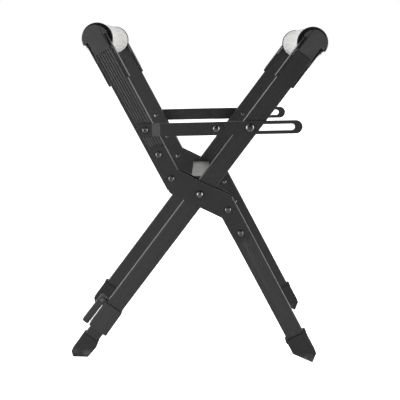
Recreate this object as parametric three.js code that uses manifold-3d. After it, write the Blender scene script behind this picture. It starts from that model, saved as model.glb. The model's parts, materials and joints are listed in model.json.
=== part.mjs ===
// Folding sawhorse: two X-shaped frames joined by two rails and a cross tube.
// Millimetres, +Z up. X runs across the opening of the legs and Y along the rails; near is -Y.
// Leg B is one straight tube. Leg A is cut in two at the crossing and cranked round leg B by Z-plates.
import * as THREE from "three";
import { mergeVertices } from "three/addons/utils/BufferGeometryUtils.js";
import Module from "manifold-3d";

const wasm = await Module();
wasm.setup();

// Driving sizes of the whole stand
const FRAME_DEPTH = 416;
const PIVOT_HEIGHT = 385;
const RAIL_HEIGHT = 718.5;
const LEAN_A = THREE.MathUtils.degToRad(29);
const LEAN_B = THREE.MathUtils.degToRad(35.5);

// Legs
const LEG_A_WIDTH = 41;
const LEG_B_WIDTH = 39;
const LEG_DEPTH = 25;
const LEG_WALL = 1.8;
const LEG_CORNER = 2;
const CRANK_OFFSET = 39;
const CRANK_GAP = 41;
const RIDGES = 5;
const RIDGE_PITCH = 5.3;
const GROOVE_WIDTH = 3.2;
const GROOVE_DEPTH_A = 0.8;
const GROOVE_DEPTH_B = 0.15;

// Clearances: pieces that touch, pieces that run on each other, and a pin in its hole
const GAP = 0.3;
const RUN = 0.5;
const HOLE_PLAY = 0.35;

// Z-plates and their bolts
const PLATE_THICK = 3;
const PLATE_HALF_BAND = 26.8;
const PLATE_BAND_LEAN = THREE.MathUtils.degToRad(36.3);
const PLATE_OUTER_MARGIN = 18.5;
const PLATE_INNER_MARGIN = 20.5;
const PLATE_END_CORNER = 16.6;
const PLATE_CORNER = 8;
const PLATE_BOLTS = [60, 120];
const BOLT_RADIUS = 4;
const BOLT_HEAD_RADIUS = 7.3;
const BOLT_HEAD_HEIGHT = 4.2;
const BOLT_END_RADIUS = 4.6;
const BOLT_END_HEIGHT = 2.6;

// Axle on the fold axis and the square cross tube that it clamps
const AXLE_RADIUS = 5;
const NUT_RADIUS = 8;
const NUT_HEIGHT = 6.5;
const CROSS_TUBE_SIZE = 42;
const CROSS_TUBE_WALL = 2;
const CROSS_TUBE_NEAR_END = -80;
const CROSS_TUBE_CORNER = 1.5;
const CROSS_PLUG_LIP = 3;
const CROSS_PLUG_EDGE = 0.6;
const CROSS_PLUG_LENGTH = 16;
const SPACER_RADIUS = 11;

// Rails and the ends of the legs that carry them
const RAIL_RADIUS = 33;
const RAIL_TUBE_RADIUS = 12.5;
const RAIL_TUBE_WALL = 1.5;
const RAIL_BANDS = 7;
const RAIL_GROOVE_WIDTH = 2;
const RAIL_GROOVE_DEPTH = 0.9;
const FLANGE_RADIUS = 34.3;
const FLANGE_THICK = 4;
const FLANGE_FLANK = 1.5;
const STRAP_THICK = 2.7;
const STRAP_STANDOFF = 1.8;
const STRAP_PAD_START = 48;
const STRAP_LENGTH = 104;
const CAP_FACE_THICK = 2;
const CAP_EDGE = 0.6;
const CAP_FACE_DROP = 32;
const CAP_PLUG_LENGTH = 34;
const CAP_RIM = 7.5;
const CAP_SLIT_OFFSET = 17.8;
const CAP_SLIT_WIDTH = 1.8;
const CAP_SLIT_DEPTH = 1.6;

// Rubber boots
const BOOT_WALL = 3.4;
const BOOT_LENGTH = 73;
const BOOT_TIP_OFFSET = 6.5;
const BOOT_INNER_RISE = 38.5;
const BOOT_OUTER_RISE = 15.5;
const BOOT_FLOOR = 5;
const BOOT_LIP = 1.6;
const BOOT_LIP_HEIGHT = 8;
const BOOT_EDGE = 0.8;

// Levelling leg: the tube that slides in leg B, its small boot and the cam clamp that holds it
const EXTENSION_TOP = 250;
const EXTENSION_WALL = 1.6;
const LEG_B_NEAR_END = 386;
const CLAMP_TOP = 326;
const CLAMP_LENGTH = 67;
const CLAMP_WALL = 2.6;
const CLAMP_SLIT = 4;
const CLAMP_SLIT_STOP = 12;
const SMALL_BOOT_TOP = 416;
const SMALL_BOOT_WALL = 2.2;
const SMALL_BOOT_OUTER_TOE = 7.4;
const SMALL_BOOT_INNER_TOE = 20.5;
const SMALL_BOOT_OUTER_RISE = 9;
const SMALL_BOOT_HEEL_DROP = 12;
const SMALL_BOOT_HEEL_OUT = 3;
const SMALL_BOOT_SEAT = 12;
const SMALL_BOOT_EDGE = 0.8;
const LEVER_STANDOFF = 2;
const LEVER_THICK = 16;
const LEVER_WIDTH = 15;
const LEVER_TAIL = 68;
const LEVER_FLARE = 1;
const LEVER_CORNER = 4;
const LEVER_HEAD_CORNER = 6;
const LEVER_EAR = 3;
const LEVER_PIN_RADIUS = 2.6;

// Folding stay: a cranked arm hinged on leg A and a slotted arm that rides on a pin in leg B
const STAY_A_ALONG = 181;
const STAY_B_ALONG = 183;
const STAY_THICK = 3;
const STAY_HEIGHT = 29;
const STAY_KNEE = 154.8;
const STAY_TAIL = 18;
const STAY_TAIL_CORNER = 9;
const CRANK_START = 15;
const CRANK_END = 33;
const SLOT_HEIGHT = 14;
const SLOT_BEFORE_PIN = 4;
const SLOT_END = 326;
const SLOT_END_WALL = 16.5;
const STAY_BOLT_RADIUS = 3.5;
const STAY_HEAD_RADIUS = 7;
const PIN_HEAD_RADIUS = 9;
const PIN_HEAD_HEIGHT = 3.4;

// Places that several pieces share
const OUTER_FACE = FRAME_DEPTH / 2;
const INNER_FACE = OUTER_FACE - LEG_DEPTH;
const MID_LEG = OUTER_FACE - LEG_DEPTH / 2;
const PLATE_OUTSIDE = OUTER_FACE + RUN + PLATE_THICK;
const PLATE_INSIDE = INNER_FACE - RUN - PLATE_THICK;
const RAIL_ALONG_A = (RAIL_HEIGHT - PIVOT_HEIGHT + CRANK_OFFSET * Math.sin(LEAN_A)) / Math.cos(LEAN_A);
const RAIL_ALONG_B = (RAIL_HEIGHT - PIVOT_HEIGHT) / Math.cos(LEAN_B);
const SIDES = { near: -1, far: 1 };

// Finishes
function finish(color, roughness, metalness) {
  return new THREE.MeshStandardMaterial({ color, roughness, metalness });
}

const blackTube = () => finish(0x3a3b3d, 0.5, 0.6);
const blackSteel = () => finish(0x333436, 0.45, 0.7);
const blackPlastic = () => finish(0x2b2b2c, 0.6, 0);
const blackRubber = () => finish(0x1f1f20, 0.85, 0);
const darkBolt = () => finish(0x4a4b4e, 0.3, 0.9);
const paleSleeve = () => finish(0xc9c9c6, 0.55, 0);
const paleTube = () => finish(0x8f9090, 0.5, 0.4);

// Solids and geometries
function toSolid(geometry) {
  const bare = geometry.clone();
  bare.deleteAttribute("normal");
  bare.deleteAttribute("uv");
  const merged = mergeVertices(bare);
  const vertProperties = new Float32Array(merged.attributes.position.array);
  const triVerts = new Uint32Array(merged.index.array);
  return new wasm.Manifold(new wasm.Mesh({ numProp: 3, vertProperties, triVerts }));
}

function toGeometry(solid) {
  const mesh = solid.getMesh();
  const geometry = new THREE.BufferGeometry();
  geometry.setAttribute("position", new THREE.BufferAttribute(mesh.vertProperties, 3));
  geometry.setIndex(new THREE.BufferAttribute(mesh.triVerts, 1));
  geometry.computeVertexNormals();
  return geometry;
}

// An outline drawn in X and Z, pushed along Y between two depths, with its edges softened by bevel
function alongDepth(outline, from, to, bevel = 0) {
  const geometry = new THREE.ExtrudeGeometry(outline, {
    depth: Math.abs(to - from) - 2 * bevel,
    bevelEnabled: bevel > 0,
    bevelThickness: bevel,
    bevelSize: bevel,
    bevelOffset: -bevel,
    bevelSegments: 2,
    curveSegments: 10,
  });
  geometry.rotateX(Math.PI / 2);
  geometry.translate(0, Math.max(from, to) - bevel, 0);
  return geometry;
}

// An outline drawn in X and Y, pushed along Z between two heights
function alongLength(outline, from, to) {
  const geometry = new THREE.ExtrudeGeometry(outline, {
    depth: to - from,
    bevelEnabled: false,
    curveSegments: 4,
  });
  geometry.translate(0, 0, from);
  return geometry;
}

// A solid turned about Y from a closed profile of [radius, depth] points
function turned(profile, segments = 24) {
  const points = profile.map(([radius, depth]) => new THREE.Vector2(radius, depth));
  const solid = toSolid(new THREE.LatheGeometry(points, segments));
  if (solid.volume() > 0) return toGeometry(solid);
  return toGeometry(toSolid(new THREE.LatheGeometry(points.reverse(), segments)));
}

function boxBetween(x0, x1, y0, y1, z0, z1) {
  const geometry = new THREE.BoxGeometry(Math.abs(x1 - x0), Math.abs(y1 - y0), Math.abs(z1 - z0));
  geometry.translate((x0 + x1) / 2, (y0 + y1) / 2, (z0 + z1) / 2);
  return geometry;
}

// Holes along Y through the whole of a geometry, each given as { x, z, radius }
function drilled(geometry, holes) {
  let solid = toSolid(geometry);
  for (const { x, z, radius } of holes) {
    const drill = new THREE.CylinderGeometry(radius, radius, 3 * FRAME_DEPTH, 16);
    drill.translate(x, 0, z);
    solid = solid.subtract(toSolid(drill));
  }
  return toGeometry(solid);
}

function joined(...geometries) {
  return toGeometry(geometries.map(toSolid).reduce((all, next) => all.add(next)));
}

function cut(geometry, ...tools) {
  return toGeometry(tools.map(toSolid).reduce((all, next) => all.subtract(next), toSolid(geometry)));
}

function polygon(points) {
  return new THREE.Shape(points.map(([x, z]) => new THREE.Vector2(x, z)));
}

function roundHole(x, z, radius) {
  const path = new THREE.Path();
  path.absarc(x, z, radius, 0, 2 * Math.PI, true);
  return path;
}

// A polygon whose corners are rounded, each point given as [x, z, radius]
function roundedPolygon(points) {
  const shape = new THREE.Shape();
  points.forEach(([x, z, radius], index) => {
    const corner = new THREE.Vector2(x, z);
    const before = new THREE.Vector2(...points[(index + points.length - 1) % points.length].slice(0, 2));
    const after = new THREE.Vector2(...points[(index + 1) % points.length].slice(0, 2));
    const toBefore = before.sub(corner).normalize();
    const toAfter = after.sub(corner).normalize();
    const half = toBefore.angleTo(toAfter) / 2;
    const reach = radius / Math.tan(half);
    const entry = corner.clone().addScaledVector(toBefore, reach);
    const exit = corner.clone().addScaledVector(toAfter, reach);
    if (index === 0) shape.moveTo(entry.x, entry.y);
    else shape.lineTo(entry.x, entry.y);
    if (radius > 0) shape.quadraticCurveTo(corner.x, corner.y, exit.x, exit.y);
  });
  shape.closePath();
  return shape;
}

function place(group, name, geometry, material, x = 0, z = 0) {
  const mesh = new THREE.Mesh(geometry, material);
  mesh.name = name;
  mesh.position.set(x, 0, z);
  group.add(mesh);
}

// Local Z of the floor under a point at local X in each leaning frame
const floorUnderA = (x) => -(PIVOT_HEIGHT + x * Math.sin(LEAN_A)) / Math.cos(LEAN_A);
const floorUnderB = (x) => -(PIVOT_HEIGHT - x * Math.sin(LEAN_B)) / Math.cos(LEAN_B);

// Section of a hollow leg tube centred at y, with ridges between grooves on its outward face only
function legSection(width, depth, wall, grooveDepth, x, y) {
  const face = (sign) => {
    const points = [];
    if (sign * y < 0) return points;
    for (let index = 0; index <= RIDGES; index++) {
      const middle = (index - RIDGES / 2) * RIDGE_PITCH;
      points.push([middle - GROOVE_WIDTH / 2, depth / 2]);
      points.push([middle, depth / 2 - grooveDepth]);
      points.push([middle + GROOVE_WIDTH / 2, depth / 2]);
    }
    return points.map(([across, out]) => [sign * across, sign * out]);
  };
  const corner = (signX, signY, startAngle) => {
    const points = [];
    for (let step = 0; step <= 3; step++) {
      const angle = startAngle + (step * Math.PI) / 6;
      const cx = signX * (width / 2 - LEG_CORNER);
      const cy = signY * (depth / 2 - LEG_CORNER);
      points.push([cx + LEG_CORNER * Math.cos(angle), cy + LEG_CORNER * Math.sin(angle)]);
    }
    return points;
  };
  const outline = [
    ...face(-1).reverse(),
    ...corner(1, -1, -Math.PI / 2),
    ...corner(1, 1, 0),
    ...face(1).reverse(),
    ...corner(-1, 1, Math.PI / 2),
    ...corner(-1, -1, Math.PI),
  ];
  const shape = polygon(outline.map(([px, py]) => [px + x, py + y]));
  const innerX = width / 2 - wall;
  const innerY = depth / 2 - wall;
  const bore = [[-innerX, -innerY], [-innerX, innerY], [innerX, innerY], [innerX, -innerY]];
  shape.holes.push(new THREE.Path(bore.map(([px, py]) => new THREE.Vector2(px + x, py + y))));
  return shape;
}

// Leg A: an upper and a lower tube on either side of the crossing
function addLegA(group, label, side) {
  const holes = (sign) => PLATE_BOLTS.map((along) => ({
    x: -sign * CRANK_OFFSET,
    z: sign * along,
    radius: BOLT_RADIUS + HOLE_PLAY,
  }));
  const section = (sign) => legSection(
    LEG_A_WIDTH, LEG_DEPTH, LEG_WALL, GROOVE_DEPTH_A, -sign * CRANK_OFFSET, side * MID_LEG,
  );
  const stayHole = { x: -CRANK_OFFSET, z: STAY_A_ALONG, radius: STAY_BOLT_RADIUS + HOLE_PLAY };
  const upper = drilled(alongLength(section(1), CRANK_GAP, RAIL_ALONG_A), [...holes(1), stayHole]);
  place(group, `leg_a_upper_${label}`, upper, blackTube());
  const end = floorUnderA(CRANK_OFFSET + BOOT_TIP_OFFSET) + BOOT_INNER_RISE + BOOT_FLOOR + GAP;
  const lower = drilled(alongLength(section(-1), end, -CRANK_GAP), holes(-1));
  place(group, `leg_a_lower_${label}`, lower, blackTube());
}

// Leg B: one straight tube through the pivot
function addLegB(group, label, side, end) {
  const section = legSection(LEG_B_WIDTH, LEG_DEPTH, LEG_WALL, GROOVE_DEPTH_B, 0, side * MID_LEG);
  const holes = [
    { x: 0, z: 0, radius: AXLE_RADIUS + HOLE_PLAY },
    { x: 0, z: STAY_B_ALONG, radius: STAY_BOLT_RADIUS + HOLE_PLAY },
  ];
  place(group, `leg_b_${label}`, drilled(alongLength(section, end, RAIL_ALONG_B), holes), blackTube());
}

// Z-plate: a band across the pivot with an arm along each half of leg A
function zPlateOutline() {
  const endAlong = PLATE_BOLTS[1] + PLATE_OUTER_MARGIN;
  const inner = CRANK_OFFSET - PLATE_INNER_MARGIN;
  const outer = CRANK_OFFSET + PLATE_OUTER_MARGIN;
  const bandEdge = (across) => {
    const lifted = across * Math.cos(PLATE_BAND_LEAN) - PLATE_HALF_BAND;
    return Math.abs(lifted / Math.sin(PLATE_BAND_LEAN));
  };
  const half = [
    [-inner, endAlong, PLATE_END_CORNER],
    [-inner, bandEdge(-inner), PLATE_CORNER],
    [outer, -bandEdge(outer), PLATE_CORNER],
    [outer, -endAlong, PLATE_END_CORNER],
  ];
  const otherHalf = half.map(([x, z, radius]) => [-x, -z, radius]);
  return roundedPolygon([...half, ...otherHalf]);
}

function addZPlates(group, label, side) {
  const holes = [{ x: 0, z: 0, radius: AXLE_RADIUS + HOLE_PLAY }];
  for (const along of PLATE_BOLTS) {
    holes.push({ x: -CRANK_OFFSET, z: along, radius: BOLT_RADIUS + HOLE_PLAY });
    holes.push({ x: CRANK_OFFSET, z: -along, radius: BOLT_RADIUS + HOLE_PLAY });
  }
  const outer = alongDepth(zPlateOutline(), side * (OUTER_FACE + RUN), side * PLATE_OUTSIDE);
  place(group, `z_plate_outer_${label}`, drilled(outer, holes), blackSteel());
  const inner = alongDepth(zPlateOutline(), side * (INNER_FACE - RUN), side * PLATE_INSIDE);
  place(group, `z_plate_inner_${label}`, drilled(inner, holes), blackSteel());
}

// A domed head on an outer face, a shank, and a small domed end on an inner face
function boltThrough(side, headSeat, endSeat, shank, headRadius, headHeight, endRadius, endHeight) {
  const head = headSeat + GAP;
  const end = endSeat - GAP;
  const profile = [
    [0, side * (end - endHeight)],
    [endRadius * 0.6, side * (end - endHeight)],
    [endRadius, side * (end - endHeight * 0.5)],
    [endRadius, side * end],
    [shank, side * end],
    [shank, side * head],
    [headRadius, side * head],
    [headRadius, side * (head + headHeight * 0.35)],
    [headRadius * 0.72, side * (head + headHeight * 0.85)],
    [0, side * (head + headHeight)],
  ];
  return turned(profile, 16);
}

function addPlateBolts(group, label, side) {
  const places = [
    [-CRANK_OFFSET, PLATE_BOLTS[1]],
    [-CRANK_OFFSET, PLATE_BOLTS[0]],
    [CRANK_OFFSET, -PLATE_BOLTS[0]],
    [CRANK_OFFSET, -PLATE_BOLTS[1]],
  ];
  places.forEach(([x, z], index) => {
    const bolt = boltThrough(
      side, PLATE_OUTSIDE, PLATE_INSIDE, BOLT_RADIUS,
      BOLT_HEAD_RADIUS, BOLT_HEAD_HEIGHT, BOLT_END_RADIUS, BOLT_END_HEIGHT,
    );
    place(group, `plate_bolt_${label}_${index + 1}`, bolt, darkBolt(), x, z);
  });
}

// Top of a leg: plastic cap, folded steel strap and the flange that the rail sleeve ends against.
// Inward is the sign of local X towards the middle of the stand.
function addLegTop(group, name, side, x, along, width, inward) {
  const half = width / 2;
  const round = half + STRAP_STANDOFF + STRAP_THICK;
  addCap(group, `end_cap_${name}`, side, x, along, half, inward);
  addStrap(group, `end_strap_${name}`, side, x, along, half, round);
  const disc = turned([
    [RAIL_TUBE_RADIUS + GAP, side * (INNER_FACE - GAP)],
    [FLANGE_RADIUS - 1.5, side * (INNER_FACE - GAP)],
    [FLANGE_RADIUS, side * (INNER_FACE - GAP - 1.2)],
    [FLANGE_RADIUS, side * (INNER_FACE - GAP - FLANGE_THICK)],
    [RAIL_TUBE_RADIUS + GAP, side * (INNER_FACE - GAP - FLANGE_THICK)],
    [RAIL_TUBE_RADIUS + GAP, side * (INNER_FACE - GAP)],
  ], 40);
  // Below the rail the outer flank is cut straight, so that the strap covers it
  const outer = boxBetween(
    -inward * (round + FLANGE_FLANK), -inward * (FLANGE_RADIUS + 1),
    side * INNER_FACE, side * (INNER_FACE - GAP - FLANGE_THICK - 1), -FLANGE_RADIUS - 1, 0,
  );
  const flange = cut(disc, outer);
  place(group, `rail_flange_${name}`, flange, blackPlastic(), x, along);
}

function addCap(group, name, side, x, along, half, inward) {
  const round = half + CAP_RIM;
  const face = new THREE.Shape();
  face.absarc(0, 0, round, 0, Math.PI, false);
  face.lineTo(-half + 0.5, -0.5);
  face.lineTo(-half + 0.5, -CAP_FACE_DROP);
  face.lineTo(half - 0.5, -CAP_FACE_DROP);
  face.lineTo(half - 0.5, -0.5);
  face.closePath();
  const faceFrom = side * (OUTER_FACE + GAP);
  const faceTo = side * (OUTER_FACE + GAP + CAP_FACE_THICK);
  const dome = new THREE.Shape();
  dome.absarc(0, GAP, half, 0, Math.PI, false);
  dome.closePath();
  const domeSolid = alongDepth(dome, side * (INNER_FACE + GAP), side * (OUTER_FACE + 1));
  const plugX = half - LEG_WALL - GAP;
  const plugY = LEG_DEPTH / 2 - LEG_WALL - GAP;
  const plug = boxBetween(
    -plugX, plugX, side * (MID_LEG - plugY), side * (MID_LEG + plugY), -CAP_PLUG_LENGTH, GAP + 2,
  );
  const slitX = inward * CAP_SLIT_OFFSET;
  const slit = boxBetween(
    slitX - CAP_SLIT_WIDTH / 2, slitX + CAP_SLIT_WIDTH / 2,
    faceTo - side * CAP_SLIT_DEPTH, faceTo + side, -CAP_FACE_DROP - 1, round + 1,
  );
  const cap = cut(joined(alongDepth(face, faceFrom, faceTo, CAP_EDGE), domeSolid, plug), slit);
  place(group, name, cap, blackPlastic(), x, along);
}

function addStrap(group, name, side, x, along, half, round) {
  const wide = half + STRAP_STANDOFF;
  const snug = half + GAP;
  const strap = new THREE.Shape();
  strap.moveTo(round, -STRAP_LENGTH);
  strap.lineTo(round, 0);
  strap.absarc(0, 0, round, 0, Math.PI, false);
  strap.lineTo(-round, -STRAP_LENGTH);
  strap.lineTo(-snug, -STRAP_LENGTH);
  strap.lineTo(-snug, -STRAP_PAD_START);
  strap.lineTo(-wide, -STRAP_PAD_START);
  strap.lineTo(-wide, 0);
  strap.absarc(0, 0, wide, Math.PI, 0, true);
  strap.lineTo(wide, -STRAP_PAD_START);
  strap.lineTo(snug, -STRAP_PAD_START);
  strap.lineTo(snug, -STRAP_LENGTH);
  strap.closePath();
  const solid = alongDepth(strap, side * (INNER_FACE + GAP), side * (OUTER_FACE - 2 * GAP));
  place(group, name, solid, blackSteel(), x, along);
}

// Rail: a pale sleeve in bands over a steel tube
function addRail(group, name, x, along) {
  const half = INNER_FACE - 2 * GAP - FLANGE_THICK;
  const bore = RAIL_TUBE_RADIUS + GAP;
  const pitch = (2 * half) / RAIL_BANDS;
  const profile = [[bore, -half], [RAIL_RADIUS - 1.5, -half], [RAIL_RADIUS, -half + 1.5]];
  for (let band = 1; band < RAIL_BANDS; band++) {
    const middle = -half + band * pitch;
    profile.push([RAIL_RADIUS, middle - RAIL_GROOVE_WIDTH / 2]);
    profile.push([RAIL_RADIUS - RAIL_GROOVE_DEPTH, middle]);
    profile.push([RAIL_RADIUS, middle + RAIL_GROOVE_WIDTH / 2]);
  }
  profile.push([RAIL_RADIUS, half - 1.5], [RAIL_RADIUS - 1.5, half], [bore, half], [bore, -half]);
  place(group, `rail_sleeve_${name}`, turned(profile, 36), paleSleeve(), x, along);
  const end = INNER_FACE - GAP;
  const inside = RAIL_TUBE_RADIUS - RAIL_TUBE_WALL;
  const tube = turned([
    [inside, -end], [RAIL_TUBE_RADIUS, -end], [RAIL_TUBE_RADIUS, end], [inside, end], [inside, -end],
  ], 20);
  place(group, `rail_tube_${name}`, tube, blackSteel(), x, along);
}

// Big boot: a socket over the leg end with a toe that slopes up on its inner side; out is the outer side
function addBoot(group, name, side, x, out, width, floorUnder) {
  const half = width / 2 + GAP + BOOT_WALL;
  const tip = floorUnder(x + out * BOOT_TIP_OFFSET);
  const top = tip + BOOT_LENGTH;
  const outline = roundedPolygon([
    [x + out * BOOT_TIP_OFFSET, tip, 0],
    [x + out * half, tip + BOOT_OUTER_RISE, 2],
    [x + out * half, top - BOOT_LIP_HEIGHT, 0],
    [x + out * (half + BOOT_LIP), top - BOOT_LIP_HEIGHT, 0],
    [x + out * (half + BOOT_LIP), top, 1.5],
    [x - out * (half + BOOT_LIP), top, 1.5],
    [x - out * (half + BOOT_LIP), top - BOOT_LIP_HEIGHT, 0],
    [x - out * half, top - BOOT_LIP_HEIGHT, 0],
    [x - out * half, tip + BOOT_INNER_RISE, 3],
  ]);
  const outer = OUTER_FACE + GAP + BOOT_WALL;
  const inner = INNER_FACE - GAP - BOOT_WALL;
  const socket = boxBetween(
    x - width / 2 - GAP, x + width / 2 + GAP,
    side * (INNER_FACE - GAP), side * (OUTER_FACE + GAP),
    tip + BOOT_INNER_RISE + BOOT_FLOOR, top + 1,
  );
  place(group, name, cut(alongDepth(outline, side * inner, side * outer, BOOT_EDGE), socket), blackRubber());
}

// Levelling leg on the near side of leg B
function addExtension(group) {
  const side = SIDES.near;
  const width = LEG_B_WIDTH - 2 * LEG_WALL - 2 * RUN;
  const depth = LEG_DEPTH - 2 * LEG_WALL - 2 * RUN;
  const floorSeat = floorUnderB(SMALL_BOOT_INNER_TOE) + SMALL_BOOT_WALL + SMALL_BOOT_SEAT;
  const section = legSection(width, depth, EXTENSION_WALL, GROOVE_DEPTH_B, 0, side * MID_LEG);
  place(group, "leg_extension", alongLength(section, floorSeat + GAP, -EXTENSION_TOP), blackTube());

  const half = width / 2 + GAP + SMALL_BOOT_WALL;
  const outerToe = floorUnderB(-SMALL_BOOT_OUTER_TOE);
  const innerToe = floorUnderB(SMALL_BOOT_INNER_TOE);
  const outline = roundedPolygon([
    [-SMALL_BOOT_OUTER_TOE, outerToe, 0],
    [SMALL_BOOT_INNER_TOE, innerToe, 0],
    [half + SMALL_BOOT_HEEL_OUT, -SMALL_BOOT_TOP - SMALL_BOOT_HEEL_DROP, 0],
    [half, -SMALL_BOOT_TOP, 0],
    [-half, -SMALL_BOOT_TOP, 0],
    [-half + 1, outerToe + SMALL_BOOT_OUTER_RISE, 2.5],
  ]);
  const outer = MID_LEG + depth / 2 + GAP + SMALL_BOOT_WALL;
  const inner = MID_LEG - depth / 2 - GAP - SMALL_BOOT_WALL;
  const socket = boxBetween(
    -width / 2 - GAP, width / 2 + GAP,
    side * (MID_LEG - depth / 2 - GAP), side * (MID_LEG + depth / 2 + GAP),
    floorSeat, -SMALL_BOOT_TOP + 1,
  );
  const boot = cut(alongDepth(outline, side * inner, side * outer, SMALL_BOOT_EDGE), socket);
  place(group, "boot_small", boot, blackRubber());
}

// Cam clamp: a sleeve round the end of leg B with two ears, the lever between them and its pin
function addClamp(group) {
  const middle = SIDES.near * MID_LEG;
  const boreX = LEG_B_WIDTH / 2 + GAP;
  const boreY = LEG_DEPTH / 2 + GAP;
  const halfX = boreX + CLAMP_WALL;
  const halfY = boreY + CLAMP_WALL;
  const bottom = -CLAMP_TOP - CLAMP_LENGTH;
  const pinX = -(halfX + LEVER_STANDOFF + LEVER_THICK / 2);
  const pinZ = -CLAMP_TOP - 2;
  const sleeveOutline = roundedPolygon([
    [-halfX, -CLAMP_TOP, 0], [halfX, -CLAMP_TOP, 3], [halfX + 2, bottom, 3], [-halfX, bottom, 0],
  ]);
  const ear = new THREE.Shape();
  ear.moveTo(-halfX + 1, pinZ - 9);
  ear.lineTo(-halfX + 1, pinZ + 2);
  ear.lineTo(pinX, pinZ + LEVER_THICK / 2);
  ear.absarc(pinX, pinZ, LEVER_THICK / 2, Math.PI / 2, (3 * Math.PI) / 2, false);
  ear.closePath();
  const earGap = LEVER_WIDTH / 2 + RUN;
  const bore = boxBetween(-boreX, boreX, middle - boreY, middle + boreY, bottom - 1, -CLAMP_TOP + 1);
  const slit = boxBetween(
    -halfX - 1, -boreX + 1,
    middle - CLAMP_SLIT / 2, middle + CLAMP_SLIT / 2,
    bottom - 1, -CLAMP_TOP - CLAMP_SLIT_STOP,
  );
  const body = joined(
    alongDepth(sleeveOutline, middle - halfY, middle + halfY, 1),
    alongDepth(ear, middle - earGap - LEVER_EAR, middle - earGap),
    alongDepth(ear, middle + earGap, middle + earGap + LEVER_EAR),
  );
  const sleeve = drilled(cut(body, bore, slit), [{ x: pinX, z: pinZ, radius: LEVER_PIN_RADIUS + HOLE_PLAY }]);
  place(group, "clamp_sleeve", sleeve, blackPlastic());

  const leverHalf = LEVER_THICK / 2;
  const lever = roundedPolygon([
    [-leverHalf, leverHalf, LEVER_HEAD_CORNER],
    [-leverHalf - LEVER_FLARE, -LEVER_TAIL, LEVER_CORNER],
    [leverHalf - LEVER_FLARE, -LEVER_TAIL, LEVER_CORNER],
    [leverHalf, leverHalf, LEVER_HEAD_CORNER],
  ]);
  const handle = alongDepth(lever, middle - LEVER_WIDTH / 2, middle + LEVER_WIDTH / 2, 1);
  const bored = drilled(handle, [{ x: 0, z: 0, radius: LEVER_PIN_RADIUS + HOLE_PLAY }]);
  place(group, "clamp_lever", bored, blackPlastic(), pinX, pinZ);
  const reach = earGap + LEVER_EAR + GAP;
  const pin = turned([
    [0, middle - reach - 1.5], [LEVER_PIN_RADIUS + 1.4, middle - reach - 1.5],
    [LEVER_PIN_RADIUS + 1.4, middle - reach], [LEVER_PIN_RADIUS, middle - reach],
    [LEVER_PIN_RADIUS, middle + reach], [LEVER_PIN_RADIUS + 1.4, middle + reach],
    [LEVER_PIN_RADIUS + 1.4, middle + reach + 1.5], [0, middle + reach + 1.5],
  ], 24);
  place(group, "clamp_pin", pin, darkBolt(), pinX, pinZ);
}

// Axle through both frames, its domed nuts, the square cross tube, its end plug and a spacer
function addCrossing(group) {
  const axleEnd = PLATE_OUTSIDE + NUT_HEIGHT * 0.6;
  const axle = turned([[0, -axleEnd], [AXLE_RADIUS, -axleEnd], [AXLE_RADIUS, axleEnd], [0, axleEnd]]);
  place(group, "pivot_axle", axle, darkBolt());
  for (const [label, side] of Object.entries(SIDES)) {
    const seat = PLATE_OUTSIDE + GAP;
    const nut = turned([
      [AXLE_RADIUS + GAP, side * seat], [NUT_RADIUS, side * seat],
      [NUT_RADIUS, side * (seat + NUT_HEIGHT * 0.3)],
      [NUT_RADIUS * 0.84, side * (seat + NUT_HEIGHT * 0.75)], [NUT_RADIUS * 0.5, side * (seat + NUT_HEIGHT)],
      [0, side * (seat + NUT_HEIGHT * 1.05)], [0, side * (axleEnd + GAP)],
      [AXLE_RADIUS + GAP, side * (axleEnd + GAP)], [AXLE_RADIUS + GAP, side * seat],
    ]);
    place(group, `pivot_nut_${label}`, nut, darkBolt());
  }
  const half = CROSS_TUBE_SIZE / 2;
  const inside = half - CROSS_TUBE_WALL;
  const farEnd = PLATE_INSIDE - GAP;
  const corner = CROSS_TUBE_CORNER;
  const square = (size) => roundedPolygon([
    [-size, -size, corner], [size, -size, corner], [size, size, corner], [-size, size, corner],
  ]);
  const tube = square(half);
  tube.holes.push(new THREE.Path(square(inside).getPoints(4)));
  place(group, "cross_tube", alongDepth(tube, CROSS_TUBE_NEAR_END, farEnd), paleTube());
  const lipTo = CROSS_TUBE_NEAR_END - GAP;
  const lip = alongDepth(square(half), lipTo - CROSS_PLUG_LIP, lipTo, CROSS_PLUG_EDGE);
  const plugTo = CROSS_TUBE_NEAR_END + CROSS_PLUG_LENGTH;
  const plugIn = alongDepth(square(inside - GAP), lipTo - 1, plugTo);
  const plug = drilled(joined(lip, plugIn), [{ x: 0, z: 0, radius: AXLE_RADIUS + HOLE_PLAY }]);
  place(group, "cross_tube_plug", plug, blackPlastic());
  const spacerFrom = -farEnd;
  const spacerTo = CROSS_TUBE_NEAR_END - 2 * GAP - CROSS_PLUG_LIP;
  const bore = AXLE_RADIUS + HOLE_PLAY;
  const spacer = turned([
    [bore, spacerFrom], [SPACER_RADIUS, spacerFrom], [SPACER_RADIUS, spacerTo],
    [bore, spacerTo], [bore, spacerFrom],
  ]);
  place(group, "axle_spacer", spacer, blackPlastic());
}

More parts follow.
